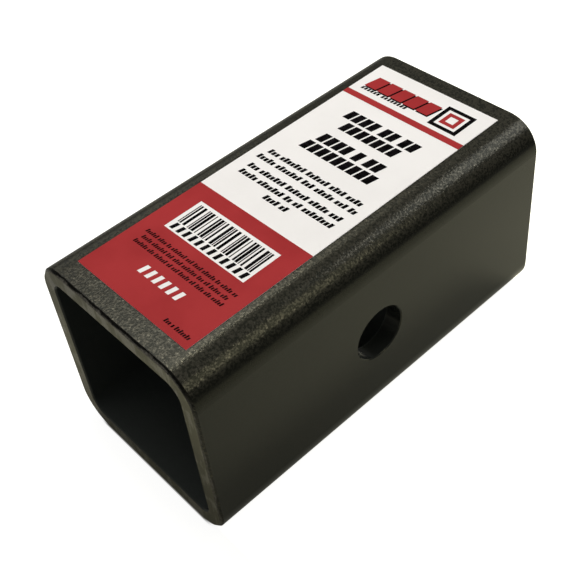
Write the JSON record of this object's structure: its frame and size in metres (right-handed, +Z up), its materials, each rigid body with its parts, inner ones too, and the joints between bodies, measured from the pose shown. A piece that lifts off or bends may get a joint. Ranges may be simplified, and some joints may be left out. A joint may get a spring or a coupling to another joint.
{
  "type": "hitch reducer sleeve",
  "caption": "Square steel tube sleeve, open at both ends, with a pin hole through both side walls and a printed label on top. It sizes a hitch receiver down for a smaller shank.",
  "frame": {"origin": "where the axis of the pin hole crosses the tube's centreline", "axes": "+X runs along the sleeve from the mouth end, 60.5 mm behind the origin, to the inner end, 66.5 mm ahead of it; +Y runs along the pin hole; +Z points up through the face that carries the label"},
  "size_m": [0.127, 0.0636, 0.0638],
  "materials": {
    "powder_coat": "fine-textured dark powder coat on steel",
    "white_vinyl": "semi-gloss white vinyl",
    "red_ink": "semi-gloss red ink",
    "dark_ink": "semi-gloss black ink"
  },
  "bodies": {
    "root": {"sleeve": "powder_coat", "label": "white_vinyl", "label_red_print": "red_ink", "label_dark_print": "dark_ink"}
  },
  "joints": []
}
